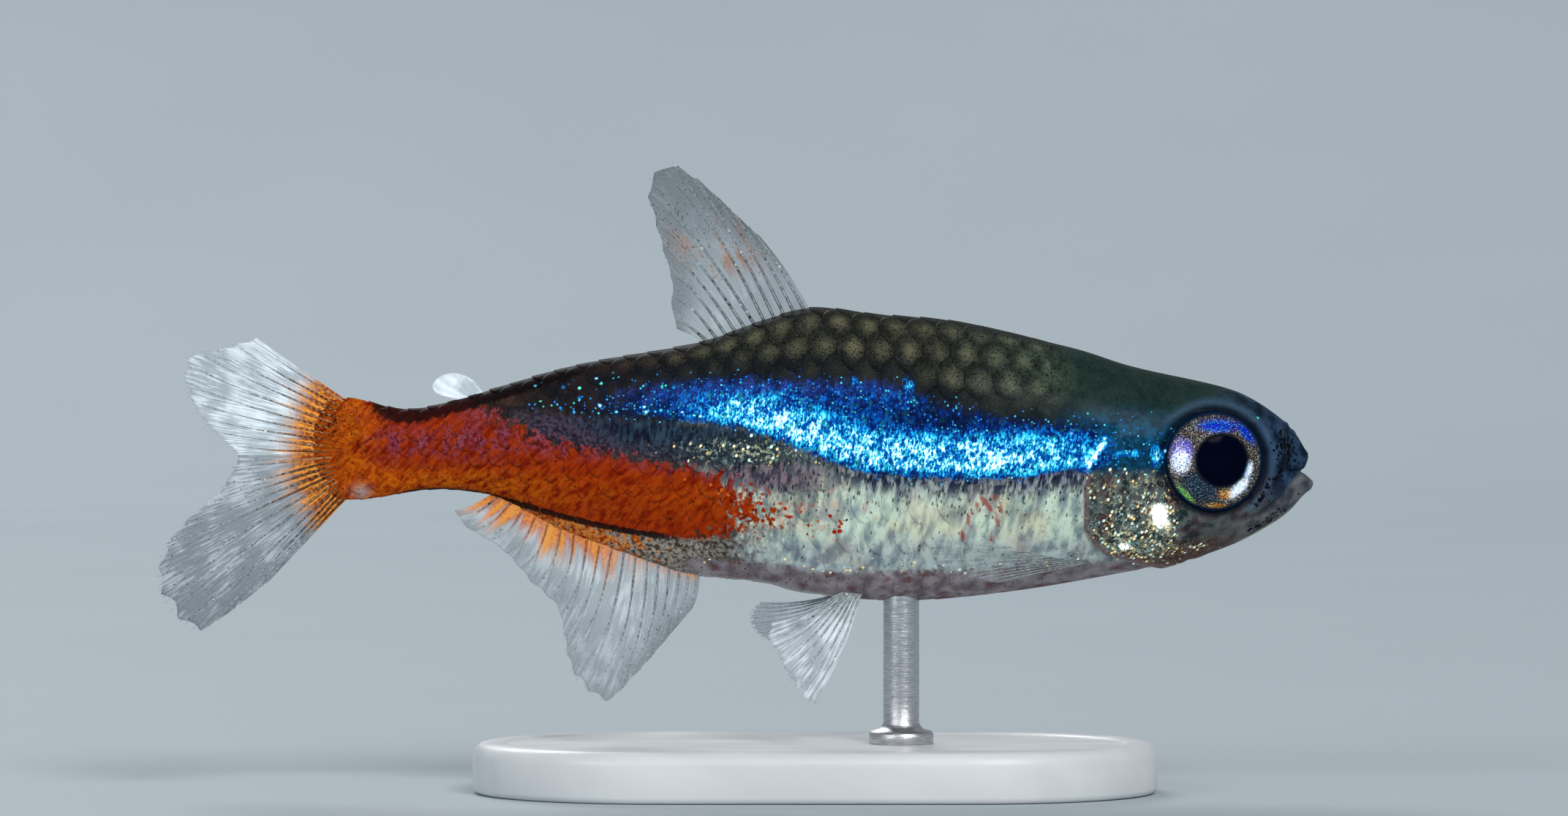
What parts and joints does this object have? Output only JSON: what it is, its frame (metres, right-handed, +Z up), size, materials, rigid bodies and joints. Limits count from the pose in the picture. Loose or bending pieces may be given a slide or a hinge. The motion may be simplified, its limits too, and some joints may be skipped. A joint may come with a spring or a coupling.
{
  "type": "life-size neon tetra (Paracheirodon innesi) model on a display stand",
  "caption": "Life-size neon tetra with spread fins and a forked tail, held level over a flat base by a short rod.",
  "frame": {"origin": "bottom centre of the whole model's box: on the floor, under the middle of the fish's length", "axes": "+X towards the fish's head, +Z up, +Y towards its left side; the picture looks along +Y at its right side"},
  "size_m": [0.0321, 0.011, 0.0175],
  "materials": {
    "fish_skin": "wet scaled skin, dark olive back, blue stripe, silver belly",
    "red_skin": "wet scaled skin, red",
    "silver_skin": "silvery, glossy",
    "clear_fin": "clear web between pale rays",
    "eye": "polished, black pupil in a silver and blue ring",
    "stand_plastic": "satin",
    "stand_steel": "brushed"
  },
  "bodies": {
    "root": {"head": "fish_skin", "lower_jaw": "fish_skin", "trunk": "fish_skin", "tail_stem": "red_skin", "gill_cover_left": "silver_skin", "gill_cover_right": "silver_skin", "eye_left": "eye", "eye_right": "eye", "stand_base": "stand_plastic", "stand_rod": "stand_steel", "dorsal_fin": "clear_fin", "anal_fin": "clear_fin", "adipose_fin": "clear_fin", "tail_fin_upper": "clear_fin", "tail_fin_lower": "clear_fin", "pelvic_fin_left": "clear_fin", "pelvic_fin_right": "clear_fin", "pectoral_fin_left": "clear_fin", "pectoral_fin_right": "clear_fin"}
  },
  "joints": []
}
